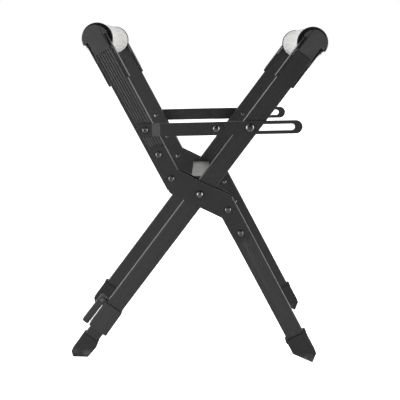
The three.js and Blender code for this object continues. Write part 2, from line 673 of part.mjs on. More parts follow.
// Folding stay on the outer side of a frame, drawn along X from its bolt in leg A
function addStay(group, label, side, pinAlong) {
  const half = STAY_HEIGHT / 2;
  const root = OUTER_FACE + RUN;
  const step = STAY_THICK + RUN;
  const plan = polygon([
    [-STAY_TAIL, side * root], [CRANK_START, side * root], [CRANK_END, side * (root + step)],
    [STAY_KNEE + half, side * (root + step)], [STAY_KNEE + half, side * (root + step + STAY_THICK)],
    [CRANK_END, side * (root + step + STAY_THICK)], [CRANK_START, side * (root + STAY_THICK)],
    [-STAY_TAIL, side * (root + STAY_THICK)],
  ]);
  const outline = new THREE.Shape();
  outline.moveTo(-STAY_TAIL + STAY_TAIL_CORNER, -half);
  outline.lineTo(STAY_KNEE, -half);
  outline.absarc(STAY_KNEE, 0, half, -Math.PI / 2, Math.PI / 2, false);
  outline.lineTo(-STAY_TAIL + STAY_TAIL_CORNER, half);
  outline.quadraticCurveTo(-STAY_TAIL, half, -STAY_TAIL, half - STAY_TAIL_CORNER);
  outline.lineTo(-STAY_TAIL, -half + STAY_TAIL_CORNER);
  outline.quadraticCurveTo(-STAY_TAIL, -half, -STAY_TAIL + STAY_TAIL_CORNER, -half);
  const strip = toSolid(alongLength(plan, -half - 1, half + 1));
  const mask = toSolid(alongDepth(outline, side * (root - 1), side * (root + step + STAY_THICK + 1)));
  const arm = drilled(toGeometry(mask.intersect(strip)), [
    { x: 0, z: 0, radius: STAY_BOLT_RADIUS + HOLE_PLAY },
    { x: STAY_KNEE, z: 0, radius: STAY_BOLT_RADIUS + HOLE_PLAY },
  ]);
  place(group, `stay_arm_${label}`, arm, blackSteel());

  const endCentre = SLOT_END + SLOT_END_WALL - half;
  const bar = new THREE.Shape();
  bar.absarc(STAY_KNEE, 0, half, Math.PI / 2, (3 * Math.PI) / 2, false);
  bar.lineTo(endCentre, -half);
  bar.absarc(endCentre, 0, half, -Math.PI / 2, Math.PI / 2, false);
  bar.closePath();
  const slot = new THREE.Path();
  const slotLeft = pinAlong - SLOT_BEFORE_PIN + SLOT_HEIGHT / 2;
  slot.absarc(slotLeft, 0, SLOT_HEIGHT / 2, (3 * Math.PI) / 2, Math.PI / 2, true);
  slot.absarc(SLOT_END - SLOT_HEIGHT / 2, 0, SLOT_HEIGHT / 2, Math.PI / 2, -Math.PI / 2, true);
  slot.closePath();
  bar.holes.push(slot);
  bar.holes.push(roundHole(STAY_KNEE, 0, STAY_BOLT_RADIUS + HOLE_PLAY));
  const slotted = alongDepth(bar, side * root, side * (root + STAY_THICK));
  place(group, `stay_slotted_${label}`, slotted, blackSteel());

  const kneeSeat = root + step + STAY_THICK + GAP;
  const rivet = turned([
    [0, side * (root + 0.2)], [STAY_BOLT_RADIUS, side * (root + 0.2)], [STAY_BOLT_RADIUS, side * kneeSeat],
    [STAY_HEAD_RADIUS, side * kneeSeat], [STAY_HEAD_RADIUS, side * (kneeSeat + 0.8)],
    [STAY_HEAD_RADIUS * 0.7, side * (kneeSeat + 2)], [0, side * (kneeSeat + 2.6)],
  ], 16);
  place(group, `stay_rivet_${label}`, rivet, darkBolt(), STAY_KNEE, 0);
  const bolt = boltThrough(
    side, root + STAY_THICK, INNER_FACE, STAY_BOLT_RADIUS,
    STAY_HEAD_RADIUS, 3.6, BOLT_END_RADIUS, BOLT_END_HEIGHT,
  );
  place(group, `stay_bolt_${label}`, bolt, darkBolt());
  const pinFoot = root - RUN / 2;
  const pinSeat = root + STAY_THICK + GAP;
  const pin = turned([
    [0, side * pinFoot], [STAY_BOLT_RADIUS, side * pinFoot], [STAY_BOLT_RADIUS, side * pinSeat],
    [PIN_HEAD_RADIUS, side * pinSeat], [PIN_HEAD_RADIUS, side * (pinSeat + PIN_HEAD_HEIGHT * 0.3)],
    [PIN_HEAD_RADIUS * 0.7, side * (pinSeat + PIN_HEAD_HEIGHT * 0.85)],
    [0, side * (pinSeat + PIN_HEAD_HEIGHT)],
  ], 20);
  place(group, `stay_pin_${label}`, pin, darkBolt(), pinAlong, 0);
}

// Screw in leg B that the stay pin turns on: a domed end inside the stand and a shank in the tube
function addPinScrew(group, label, side) {
  const seat = INNER_FACE - GAP;
  const screw = turned([
    [0, side * (seat - BOLT_END_HEIGHT)], [BOLT_END_RADIUS * 0.6, side * (seat - BOLT_END_HEIGHT)],
    [BOLT_END_RADIUS, side * (seat - BOLT_END_HEIGHT / 2)], [BOLT_END_RADIUS, side * seat],
    [STAY_BOLT_RADIUS, side * seat], [STAY_BOLT_RADIUS, side * (OUTER_FACE - GAP)],
    [0, side * (OUTER_FACE - GAP)],
  ], 16);
  place(group, `stay_pin_screw_${label}`, screw, darkBolt(), 0, STAY_B_ALONG);
}

// Assembly: each frame leans in its own group about the pivot
const sawhorse = new THREE.Group();
const pivot = new THREE.Group();
pivot.position.z = PIVOT_HEIGHT;
sawhorse.add(pivot);
const frameA = new THREE.Group();
frameA.rotation.y = -LEAN_A;
const frameB = new THREE.Group();
frameB.rotation.y = LEAN_B;
pivot.add(frameA, frameB);
addCrossing(pivot);

const bootEndB = floorUnderB(-BOOT_TIP_OFFSET) + BOOT_INNER_RISE + BOOT_FLOOR + GAP;
for (const [label, side] of Object.entries(SIDES)) {
  addLegA(frameA, label, side);
  addZPlates(frameA, label, side);
  addPlateBolts(frameA, label, side);
  addLegTop(frameA, `a_${label}`, side, -CRANK_OFFSET, RAIL_ALONG_A, LEG_A_WIDTH, 1);
  addBoot(frameA, `boot_a_${label}`, side, CRANK_OFFSET, 1, LEG_A_WIDTH, floorUnderA);
  addLegB(frameB, label, side, label === "near" ? -LEG_B_NEAR_END : bootEndB);
  addLegTop(frameB, `b_${label}`, side, 0, RAIL_ALONG_B, LEG_B_WIDTH, -1);
  addPinScrew(frameB, label, side);
}
addRail(frameA, "a", -CRANK_OFFSET, RAIL_ALONG_A);
addRail(frameB, "b", 0, RAIL_ALONG_B);
addBoot(frameB, "boot_b_far", SIDES.far, 0, -1, LEG_B_WIDTH, floorUnderB);
addExtension(frameB);
addClamp(frameB);

// The stays run from their bolt in leg A to their pin in leg B
const stayBolt = new THREE.Vector2(
  -STAY_A_ALONG * Math.sin(LEAN_A) - CRANK_OFFSET * Math.cos(LEAN_A),
  STAY_A_ALONG * Math.cos(LEAN_A) - CRANK_OFFSET * Math.sin(LEAN_A),
);
const stayPin = new THREE.Vector2(STAY_B_ALONG * Math.sin(LEAN_B), STAY_B_ALONG * Math.cos(LEAN_B));
const stay = new THREE.Group();
stay.position.set(stayBolt.x, 0, stayBolt.y);
stay.rotation.y = -stayPin.clone().sub(stayBolt).angle();
pivot.add(stay);
for (const [label, side] of Object.entries(SIDES)) {
  addStay(stay, label, side, stayBolt.distanceTo(stayPin));
}

// The origin is under the middle of the stand
sawhorse.updateMatrixWorld(true);
const bounds = new THREE.Box3().setFromObject(sawhorse);
sawhorse.position.x = -(bounds.min.x + bounds.max.x) / 2;

export default sawhorse;
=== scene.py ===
import json
import math

import bmesh
import bpy
import numpy as np
from mathutils import Matrix, Vector


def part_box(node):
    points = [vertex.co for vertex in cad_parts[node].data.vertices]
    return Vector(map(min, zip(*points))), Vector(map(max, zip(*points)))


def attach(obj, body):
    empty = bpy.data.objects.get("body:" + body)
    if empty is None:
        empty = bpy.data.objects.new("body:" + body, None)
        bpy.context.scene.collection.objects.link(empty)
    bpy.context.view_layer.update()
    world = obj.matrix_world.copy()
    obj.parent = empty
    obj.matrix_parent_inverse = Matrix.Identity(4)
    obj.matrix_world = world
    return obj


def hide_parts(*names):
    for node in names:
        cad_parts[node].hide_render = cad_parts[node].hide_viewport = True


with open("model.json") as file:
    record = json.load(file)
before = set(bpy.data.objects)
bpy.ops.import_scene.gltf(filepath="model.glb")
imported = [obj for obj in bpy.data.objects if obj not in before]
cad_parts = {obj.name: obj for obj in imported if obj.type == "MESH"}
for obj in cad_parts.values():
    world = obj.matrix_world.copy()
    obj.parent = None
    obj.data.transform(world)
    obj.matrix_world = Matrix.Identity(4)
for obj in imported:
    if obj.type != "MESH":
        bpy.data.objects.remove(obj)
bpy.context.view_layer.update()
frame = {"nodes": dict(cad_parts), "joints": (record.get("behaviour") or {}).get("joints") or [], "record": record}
BODY_OF = {node: body for body, nodes in frame["record"]["behaviour"]["bodies"].items() for node in nodes}

bl_info = {
    "name": "Folding sawhorse",
    "version": (1, 0, 0),
    "blender": (4, 5, 0),
    "location": "View3D > Sidebar > Sawhorse",
    "description": "Finishes and fine shapes of a folding sawhorse around its jointed frame",
    "category": "Object",
}

MM = 0.001
SIDES = ("near", "far")
LEAN_A = math.radians(29.0)
LEAN_B = math.radians(35.5)
OUTWARD = {"near": -1.0, "far": 1.0}
PIVOT = Vector(next(joint["pos_m"] for joint in frame["joints"] if joint["name"] == "fold"))
# Vertices closer than this are one, and faces that turn by less than this are one flat face
SAME_POINT = 0.01 * MM
SAME_PLANE = math.radians(0.6)
# Head radius, head height, shank radius, end radius and end height of the bolts
PLATE_BOLT = (7.3 * MM, 4.2 * MM, 4.0 * MM, 4.6 * MM, 2.6 * MM)
STAY_BOLT = (7.0 * MM, 4.2 * MM, 3.5 * MM, 4.6 * MM, 2.6 * MM)
SLEEVE_WALL = 3.0 * MM
SLEEVE_LIP = 0.8 * MM
SLEEVE_COLUMNS = 96
STATIONS_PER_RING = 60
# Camera 2 m in front of the axle, with its yaw, pitch and roll in degrees
CAMERA_PLACE = Vector((PIVOT.x + 0.01057, -2.0348, 0.7038))
CAMERA_TURN = (-0.312, 10.309, 1.133)
# The lamps face this point, the middle of the stand
AIM = Vector((0.0, 0.0, 0.38))


def linear(code):
    """An sRGB hex colour as linear red, green, blue:
    x / 12.92 below 0.04045, else ((x + 0.055) / 1.055) ^ 2.4."""
    parts = np.array([int(code[i:i + 2], 16) for i in (1, 3, 5)]) / 255.0
    turned = np.where(parts <= 0.04045, parts / 12.92, ((parts + 0.055) / 1.055) ** 2.4)
    return tuple(float(value) for value in turned)


def colour_property(label, code, words):
    return bpy.props.FloatVectorProperty(
        name=label, description=words, subtype="COLOR", size=3, min=0.0, max=1.0, default=linear(code)
    )


def length_property(label, millimetres, words):
    return bpy.props.FloatProperty(
        name=label, description=words, unit="LENGTH", subtype="DISTANCE", min=0.0, default=millimetres * MM
    )


class SawhorseFinishes(bpy.types.PropertyGroup):
    tube: colour_property("Leg tube", "#232323", "Black anodised aluminium of the legs")
    steel: colour_property("Steel", "#171717", "Black powder coat of the plates, stays and straps")
    hardware: colour_property("Bolts", "#4e4e50", "Black zinc of the bolts, pins and nuts")
    rubber: colour_property("Boots", "#101010", "Black rubber of the boots")
    clamp: colour_property("Clamp", "#161616", "Black nylon of the clamp and lever")
    nylon: colour_property("Mouldings", "#202020", "Black nylon of the caps")
    flange: colour_property("Flanges", "#0b0b0c", "Glossy black nylon of the rail flanges")
    sleeve: colour_property("Rail sleeve", "#b2b1ae", "Pale grey of the rail sleeves")
    cross_tube: colour_property("Cross tube", "#616260", "Grey of the square cross tube")
    floor: colour_property("Floor", "#fbfbfb", "Pale floor")


class SawhorseSizes(bpy.types.PropertyGroup):
    tube_edge: length_property("Tube edge", 0.35, "Rounding of the extrusion's edges")
    plate_edge: length_property("Plate edge", 0.5, "Rounding of the stamped plates' edges")
    moulded_edge: length_property("Moulded edge", 1.1, "Rounding of the plastic mouldings' edges")
    rubber_edge: length_property("Rubber edge", 1.4, "Rounding of the boots' edges")
    ring_pitch: length_property("Ring pitch", 50.0, "Distance between the rings of the rail sleeve")
    ring_depth: length_property("Ring depth", 1.9, "Depth of the rings of the rail sleeve")
    socket_depth: length_property("Socket depth", 2.0, "Depth of the hexagon socket in a bolt head")


class SawhorseStage(bpy.types.PropertyGroup):
    lens: bpy.props.FloatProperty(
        name="Lens", description="Focal length on a 36 mm sensor, in millimetres", default=75.49, min=10.0
    )
    key_power: bpy.props.FloatProperty(
        name="Key light", description="Power of the main soft light", unit="POWER", default=12.5, min=0.0
    )
    strip_power: bpy.props.FloatProperty(
        name="Strip lights", description="Power of each upright strip light", unit="POWER",
        default=36.0, min=0.0,
    )
    front_light: bpy.props.FloatProperty(
        name="Front light", description="Brightness of the studio behind the camera", default=0.06, min=0.0
    )
    floor_side: bpy.props.FloatProperty(
        name="Floor side", description="Side of the square floor", unit="LENGTH", default=60.0, min=1.0
    )


# Node trees


def add_node(tree, kind, settings=None, inputs=None):
    """Adds a node; an input is either a value or the output socket of another node that it is linked to."""
    made = tree.nodes.new(kind)
    for name, value in (settings or {}).items():
        setattr(made, name, value)
    for name, value in (inputs or {}).items():
        if isinstance(value, bpy.types.NodeSocket):
            tree.links.new(value, made.inputs[name])
        else:
            made.inputs[name].default_value = value
    return made


def new_tree(name):
    material = bpy.data.materials.new(name)
    material.use_nodes = True
    material.node_tree.nodes.clear()
    return material, material.node_tree


def object_space(tree, lean=0.0, scale=(1.0, 1.0, 1.0)):
    """Object coordinates turned by lean about Y, so that Z runs along a leg, then stretched by scale."""
    coordinates = add_node(tree, "ShaderNodeTexCoord").outputs["Object"]
    turned = {"Vector": coordinates, "Rotation": (0.0, lean, 0.0)}
    upright = add_node(tree, "ShaderNodeMapping", inputs=turned).outputs[0]
    return add_node(tree, "ShaderNodeMapping", inputs={"Vector": upright, "Scale": scale}).outputs[0]


def noise(tree, space, size, detail=2.0, roughness=0.5):
    """Noise whose blobs are about size metres across in the given space."""
    settings = {"Vector": space, "Scale": 1.0 / size, "Detail": detail, "Roughness": roughness}
    return add_node(tree, "ShaderNodeTexNoise", inputs=settings).outputs[0]


def remap(tree, value, low, high, to_low, to_high):
    settings = {"Value": value, "From Min": low, "From Max": high, "To Min": to_low, "To Max": to_high}
    return add_node(tree, "ShaderNodeMapRange", inputs=settings).outputs[0]


def shaded(tree, colour, factor, gain_low, gain_high):
    """The colour times a gain that runs from gain_low to gain_high with factor."""
    low = tuple(channel * gain_low for channel in colour) + (1.0,)
    high = tuple(min(1.0, channel * gain_high) for channel in colour) + (1.0,)
    return add_node(tree, "ShaderNodeMix", {"data_type": "RGBA"}, {0: factor, 6: low, 7: high}).outputs[2]


def over(tree, under, colour, factor):
    """Lays a colour over another by factor."""
    settings = {0: factor, 6: under, 7: tuple(colour) + (1.0,)}
    return add_node(tree, "ShaderNodeMix", {"data_type": "RGBA"}, settings).outputs[2]


def relief(tree, height, distance, normal=None):
    """A bump whose height runs over distance metres, on top of an earlier normal where one is given."""
    settings = {"Height": height, "Distance": distance, "Strength": 1.0}
    if normal is not None:
        settings["Normal"] = normal
    return add_node(tree, "ShaderNodeBump", inputs=settings).outputs[0]


def finish_surface(tree, **sockets):
    shader = add_node(tree, "ShaderNodeBsdfPrincipled", inputs={
        name.replace("_", " "): value for name, value in sockets.items()
    })
    add_node(tree, "ShaderNodeOutputMaterial", inputs={"Surface": shader.outputs[0]})


def anodised_extrusion(name, colour, lean):
    """Black anodised aluminium, drawn through a die: satin, with fine lines along the tube and faint
    handling scuffs."""
    material, tree = new_tree(name)
    along = object_space(tree, lean, (1.0, 1.0, 0.012))
    plain = object_space(tree)
    # Die lines 0.7 mm apart; real ones are finer and would not show
    lines = noise(tree, along, 0.7 * MM, 3.0, 0.6)
    patches = noise(tree, plain, 45 * MM, 3.0)
    grain = noise(tree, plain, 0.9 * MM, 2.0)
    streaky = noise(tree, object_space(tree, lean, (1.0, 1.0, 0.25)), 6 * MM, 5.0, 0.7)
    scuffs = remap(tree, streaky, 0.62, 0.74, 0.0, 0.07)
    base = shaded(tree, colour, lines, 0.94, 1.06)
    base = over(tree, base, linear("#5b5c5e"), scuffs)
    rough = add_node(tree, "ShaderNodeMath", {"operation": "ADD"}, {
        0: remap(tree, patches, 0.3, 0.7, 0.36, 0.42), 1: remap(tree, lines, 0.3, 0.7, -0.02, 0.02)
    }).outputs[0]
    normal = relief(tree, grain, 0.004 * MM)
    normal = relief(tree, lines, 0.005 * MM, normal)
    finish_surface(
        tree, Base_Color=base, Metallic=0.5, Roughness=rough, Normal=normal, Specular_IOR_Level=0.3,
    )
    return material


def powder_coat(name, colour):
    """Black powder coat on pressed steel: an even satin skin with the slight orange peel of baked powder."""
    material, tree = new_tree(name)
    plain = object_space(tree)
    # Orange peel 1.6 mm across and powder grain 0.5 mm across
    peel = noise(tree, plain, 1.6 * MM, 1.0)
    grain = noise(tree, plain, 0.5 * MM, 2.0)
    cloud = noise(tree, plain, 30 * MM, 3.0)
    chips = remap(tree, noise(tree, plain, 4 * MM, 5.0, 0.75), 0.68, 0.74, 0.0, 0.2)
    base = shaded(tree, colour, cloud, 0.88, 1.14)
    base = over(tree, base, linear("#58595b"), chips)
    normal = relief(tree, peel, 0.02 * MM)
    normal = relief(tree, grain, 0.004 * MM, normal)
    finish_surface(
        tree, Base_Color=base, Roughness=remap(tree, grain, 0.3, 0.7, 0.34, 0.42), Normal=normal,
        Metallic=0.0, Specular_IOR_Level=0.22,
    )
    return material


def black_zinc(name, colour):
    """Steel with a polished black zinc plate: a dark mirror-like metal with faint turning marks."""
    material, tree = new_tree(name)
    plain = object_space(tree)
    cloud = noise(tree, plain, 3 * MM, 3.0)
    marks = noise(tree, plain, 0.35 * MM, 2.0)
    finish_surface(
        tree, Base_Color=shaded(tree, colour, cloud, 0.8, 1.2), Metallic=1.0,
        Roughness=remap(tree, marks, 0.3, 0.7, 0.13, 0.2), Normal=relief(tree, marks, 0.003 * MM),
    )
    return material


def moulded_rubber(name, colour):
    """Black rubber from a blasted mould: dull, finely grained, with pale floor dust on its lowest 2 cm."""
    material, tree = new_tree(name)
    plain = object_space(tree)
    grain = noise(tree, plain, 0.8 * MM, 3.0, 0.6)
    cloud = noise(tree, plain, 14 * MM, 4.0)
    height = add_node(tree, "ShaderNodeSeparateXYZ", inputs={0: plain}).outputs["Z"]
    low = remap(tree, height, 2 * MM, 22 * MM, 1.0, 0.0)
    dusty = add_node(tree, "ShaderNodeMath", {"operation": "MULTIPLY"}, {
        0: low, 1: remap(tree, cloud, 0.4, 0.65, 0.0, 0.3)
    }).outputs[0]
    base = over(tree, shaded(tree, colour, cloud, 0.85, 1.2), linear("#77746e"), dusty)
    finish_surface(
        tree, Base_Color=base, Roughness=remap(tree, cloud, 0.3, 0.7, 0.58, 0.72),
        Normal=relief(tree, grain, 0.03 * MM), Specular_IOR_Level=0.25,
    )
    return material


def moulded_nylon(name, colour, rough=0.4):
    """Black glass-filled nylon: a fine spark-eroded texture that spreads the light softly; rough is the
    lowest roughness of its surface."""
    material, tree = new_tree(name)
    plain = object_space(tree)
    # Spark texture 0.6 mm across, drawn twice as coarse as real so that it shows
    spark = noise(tree, plain, 0.6 * MM, 3.0, 0.6)
    cloud = noise(tree, plain, 18 * MM, 3.0)
    rubs = remap(tree, noise(tree, plain, 5 * MM, 5.0, 0.7), 0.64, 0.74, 0.0, 0.12)
    base = shaded(tree, colour, cloud, 0.88, 1.15)
    base = over(tree, base, linear("#55565a"), rubs)
    finish_surface(
        tree, Base_Color=base, Roughness=remap(tree, cloud, 0.3, 0.7, rough, rough + 0.12),
        Normal=relief(tree, spark, 0.012 * MM), Specular_IOR_Level=0.3,
    )
    return material


def pale_sleeve_plastic(name, colour):
    """Pale grey polypropylene sleeve: satin, with painted shade that greys the grooves between its rings."""
    material, tree = new_tree(name)
    plain = object_space(tree)
    depth = add_node(tree, "ShaderNodeAttribute", {"attribute_name": "groove"}).outputs["Fac"]
    cloud = noise(tree, plain, 16 * MM, 4.0)
    grain = noise(tree, plain, 0.9 * MM, 2.0)
    base = shaded(tree, colour, cloud, 0.93, 1.05)
    # Painted shade: a darker grey laid into the grooves by their depth
    base = over(tree, base, linear("#77777a"), remap(tree, depth, 0.15, 1.0, 0.0, 0.75))
    finish_surface(
        tree, Base_Color=base, Roughness=remap(tree, cloud, 0.3, 0.7, 0.36, 0.48),
        Normal=relief(tree, grain, 0.006 * MM),
    )
    return material


def satin_aluminium(name, colour):
    """Grey anodised aluminium tube: satin, with fine die lines along Y."""
    material, tree = new_tree(name)
    lines = noise(tree, object_space(tree, 0.0, (1.0, 0.012, 1.0)), 0.7 * MM, 3.0, 0.6)
    patches = noise(tree, object_space(tree), 25 * MM, 3.0)
    finish_surface(
        tree, Base_Color=shaded(tree, colour, lines, 0.9, 1.08), Metallic=0.4,
        Roughness=remap(tree, patches, 0.3, 0.7, 0.42, 0.52), Normal=relief(tree, lines, 0.02 * MM),
    )
    return material


def pale_floor(name, colour):
    """Seamless matt studio board."""
    material, tree = new_tree(name)
    cloud = noise(tree, object_space(tree), 900 * MM, 2.0)
    # Glows white to the eye and much less as a light, so that it does not grey the black parts
    seen = add_node(tree, "ShaderNodeLightPath").outputs["Is Camera Ray"]
    finish_surface(
        tree, Base_Color=shaded(tree, colour, cloud, 0.985, 1.01), Roughness=0.85, Specular_IOR_Level=0.2,
        Emission_Color=(1.0, 1.0, 1.0, 1.0), Emission_Strength=remap(tree, seen, 0.0, 1.0, 0.12, 0.9),
    )
    return material


# Surfaces and pieces


def put_on(piece, node, material):
    """Dresses a piece, hangs it on the body of its frame node and puts it in that node's place."""
    piece.data.materials.clear()
    piece.data.materials.append(material)
    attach(piece, BODY_OF[node])
    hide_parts(node)


def tidy_mesh(mesh, merge=None, planar=None):
    """Merges doubles, joins flat neighbours and turns the faces outwards."""
    work = bmesh.new()
    work.from_mesh(mesh)
    if merge:
        bmesh.ops.remove_doubles(work, verts=work.verts, dist=merge)
    if planar:
        bmesh.ops.dissolve_limit(work, angle_limit=planar, verts=work.verts, edges=work.edges)
    bmesh.ops.recalc_face_normals(work, faces=work.faces)
    work.to_mesh(mesh)
    work.free()
    mesh.update()


def softened(node, width, material, segments=2, angle=28.0, flat=False):
    """A node's own shape with its sharp edges rounded by width, on the node's body and in its place;
    flat keeps each face of a shallow bend flat to the eye."""
    source = frame["nodes"][node]
    mesh = bpy.data.meshes.new(f"{node}_shape")
    count = len(source.data.polygons)
    points = np.empty(len(source.data.vertices) * 3)
    source.data.vertices.foreach_get("co", points)
    corners = np.empty(count * 3, dtype=np.int32)
    source.data.loops.foreach_get("vertex_index", corners)
    mesh.from_pydata(points.reshape(-1, 3).tolist(), [], corners.reshape(-1, 3).tolist())
    tidy_mesh(mesh, merge=SAME_POINT, planar=SAME_PLANE)
    piece = bpy.data.objects.new(f"{node}_finished", mesh)
    bpy.context.scene.collection.objects.link(piece)
    if flat:
        mesh.shade_flat()
    else:
        mesh.shade_smooth()
    rounding = piece.modifiers.new("Rounded edges", "BEVEL")
    rounding.width = width
    rounding.segments = segments
    rounding.limit_method = "ANGLE"
    rounding.angle_limit = math.radians(angle)
    rounding.use_clamp_overlap = True
    if not flat:
        piece.modifiers.new("Flat faces stay flat", "WEIGHTED_NORMAL").weight = 80
    put_on(piece, node, material)


def grid_piece(name, points, wrap_rows=False):
    """A closed surface from a grid of points: its columns join up round it, and its rows either join up too
    or shrink to one point at each end."""
    rows, columns = points.shape[:2]
    here = np.arange(columns)
    after = (here + 1) % columns
    if wrap_rows:
        vertices = points.reshape(-1, 3)
        row = np.arange(rows)[:, None] * columns
        below = ((np.arange(rows) + 1) % rows)[:, None] * columns
        quads = np.stack([row + here, row + after, below + after, below + here], axis=-1)
        faces = quads.reshape(-1, 4).tolist()
    else:
        vertices = np.vstack([points[0, :1], points[1:-1].reshape(-1, 3), points[-1, :1]])
        row = 1 + np.arange(rows - 3)[:, None] * columns
        quads = np.stack([row + here, row + after, row + columns + after, row + columns + here], axis=-1)
        last = 1 + (rows - 3) * columns
        top = np.stack([np.zeros(columns, int), 1 + after, 1 + here], axis=-1)
        foot = np.stack([np.full(columns, len(vertices) - 1), last + here, last + after], axis=-1)
        faces = quads.reshape(-1, 4).tolist() + top.tolist() + foot.tolist()
    mesh = bpy.data.meshes.new(name)
    mesh.from_pydata(vertices.tolist(), [], faces)
    tidy_mesh(mesh)
    mesh.shade_smooth()
    piece = bpy.data.objects.new(name, mesh)
    bpy.context.scene.collection.objects.link(piece)
    return piece


def smooth_by_angle(piece, degrees=38.0):
    """Keeps the edges that turn by more than the given angle sharp."""
    piece.data.set_sharp_from_angle(angle=math.radians(degrees))


def turned_points(centre, profile, columns=48, hexagon=None):
    """Profile of (distance along Y, radius) carried round the Y axis through centre. Where hexagon is true,
    the radius a is that of a regular hexagon's inscribed circle: r = a / cos(t mod 60 - 30)."""
    stations = np.array([point[:2] for point in profile], dtype=float)
    turn = np.linspace(0.0, 2 * math.pi, columns, endpoint=False)
    radius = np.repeat(stations[:, 1:2], columns, axis=1)
    if hexagon is not None:
        flats = np.array(hexagon, dtype=bool)
        sixth = math.radians(60)
        radius[flats] = stations[flats, 1:2] / np.cos(np.mod(turn, sixth) - sixth / 2)
    x = centre[0] + radius * np.cos(turn)
    z = centre[2] + radius * np.sin(turn)
    y = np.repeat(stations[:, :1], columns, axis=1)
    return np.stack([x, y, z], axis=-1)


def arc(y_from, r_from, y_to, r_to, steps=7):
    """A quarter of an ellipse between two profile points, square to Y at the first and along Y at the
    second."""
    angle = np.linspace(0.0, math.pi / 2, steps)
    along = y_from + (y_to - y_from) * (1 - np.cos(angle))
    radius = r_from + (r_to - r_from) * np.sin(angle)
    return list(zip(along.tolist(), radius.tolist()))


def node_centre(node):
    low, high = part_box(node)
    return (Vector(low) + Vector(high)) / 2


def button_bolt(node, side, head_radius, head_height, shank_radius, end_radius, end_height, socket_depth):
    """A button-head bolt: hexagon socket, domed head, shank, and a small domed nut at its other end."""
    low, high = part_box(node)
    out = OUTWARD[side]
    top = high[1] if out > 0 else low[1]
    foot = low[1] if out > 0 else high[1]
    seat = top - out * head_height
    socket = head_radius * 0.36
    floor = top - out * socket_depth
    profile = [(floor, 0.0), (floor, socket * 0.6), (floor, socket), (top - out * 0.2 * MM, socket)]
    flats = [False, True, True, True]
    dome = [(top, socket * 1.28), *arc(top, socket * 1.3, seat + out * 0.5 * MM, head_radius, 9)[1:]]
    nut_seat = foot + out * end_height
    body = [
        (seat, head_radius - 0.25 * MM), (seat, shank_radius),
        (nut_seat, shank_radius), (nut_seat, end_radius),
        (foot + out * end_height * 0.45, end_radius), (foot + out * 0.1 * MM, end_radius * 0.55), (foot, 0.0),
    ]
    profile += dome + body
    flats += [False] * (len(profile) - len(flats))
    return turned_points(node_centre(node), profile, 48, flats)


class SAWHORSE_OT_leg_tubes(bpy.types.Operator):
    """Ribbed leg tubes and the levelling tube, with the extrusion's die lines along each"""
    bl_idname = "sawhorse.leg_tubes"
    bl_label = "Leg tubes"

    def execute(self, context):
        finishes, sizes = context.scene.sawhorse_finishes, context.scene.sawhorse_sizes
        cranked = anodised_extrusion("Black anodised extrusion, cranked legs", finishes.tube, LEAN_A)
        straight = anodised_extrusion("Black anodised extrusion, straight legs", finishes.tube, -LEAN_B)
        for side in SIDES:
            softened(f"leg_a_upper_{side}", sizes.tube_edge, cranked)
            softened(f"leg_a_lower_{side}", sizes.tube_edge, cranked)
            softened(f"leg_b_{side}", sizes.tube_edge, straight)
        softened("leg_extension", sizes.tube_edge, straight)
        return {"FINISHED"}


class SAWHORSE_OT_plates(bpy.types.Operator):
    """Pressed Z-plates of the crossing"""
    bl_idname = "sawhorse.plates"
    bl_label = "Crank plates"

    def execute(self, context):
        finishes, sizes = context.scene.sawhorse_finishes, context.scene.sawhorse_sizes
        coat = powder_coat("Black powder-coated steel, plates", finishes.steel)
        for side in SIDES:
            softened(f"z_plate_outer_{side}", sizes.plate_edge, coat, 3)
            softened(f"z_plate_inner_{side}", sizes.plate_edge, coat, 3)
        return {"FINISHED"}


class SAWHORSE_OT_stays(bpy.types.Operator):
    """Joggled and slotted arms of the folding stays"""
    bl_idname = "sawhorse.stays"
    bl_label = "Stays"

    def execute(self, context):
        finishes, sizes = context.scene.sawhorse_finishes, context.scene.sawhorse_sizes
        coat = powder_coat("Black powder-coated steel, stays", finishes.steel)
        for side in SIDES:
            softened(f"stay_arm_{side}", sizes.plate_edge, coat, 3, flat=True)
            softened(f"stay_slotted_{side}", sizes.plate_edge, coat, 3)
        return {"FINISHED"}


class SAWHORSE_OT_bolts(bpy.types.Operator):
    """Button-head bolts of the plates and stays, the domed axle nuts and the small pins"""
    bl_idname = "sawhorse.bolts"
    bl_label = "Bolts and pins"

    def execute(self, context):
        finishes, sizes = context.scene.sawhorse_finishes, context.scene.sawhorse_sizes
        zinc = black_zinc("Polished black zinc steel", finishes.hardware)
        for side in SIDES:
            for number in (1, 2, 3, 4):
                self.bolt(f"plate_bolt_{side}_{number}", side, (*PLATE_BOLT, sizes.socket_depth), zinc)
            self.bolt(f"stay_bolt_{side}", side, (*STAY_BOLT, sizes.socket_depth), zinc)
            for name in ("stay_rivet", "stay_pin", "stay_pin_screw", "pivot_nut"):
                softened(f"{name}_{side}", 0.4 * MM, zinc, 3, 20.0)
        softened("pivot_axle", 0.3 * MM, zinc)
        softened("clamp_pin", 0.3 * MM, zinc)
        return {"FINISHED"}

    def bolt(self, node, side, shape, material):
        piece = grid_piece(f"{node}_finished", button_bolt(node, side, *shape))
        smooth_by_angle(piece)
        put_on(piece, node, material)


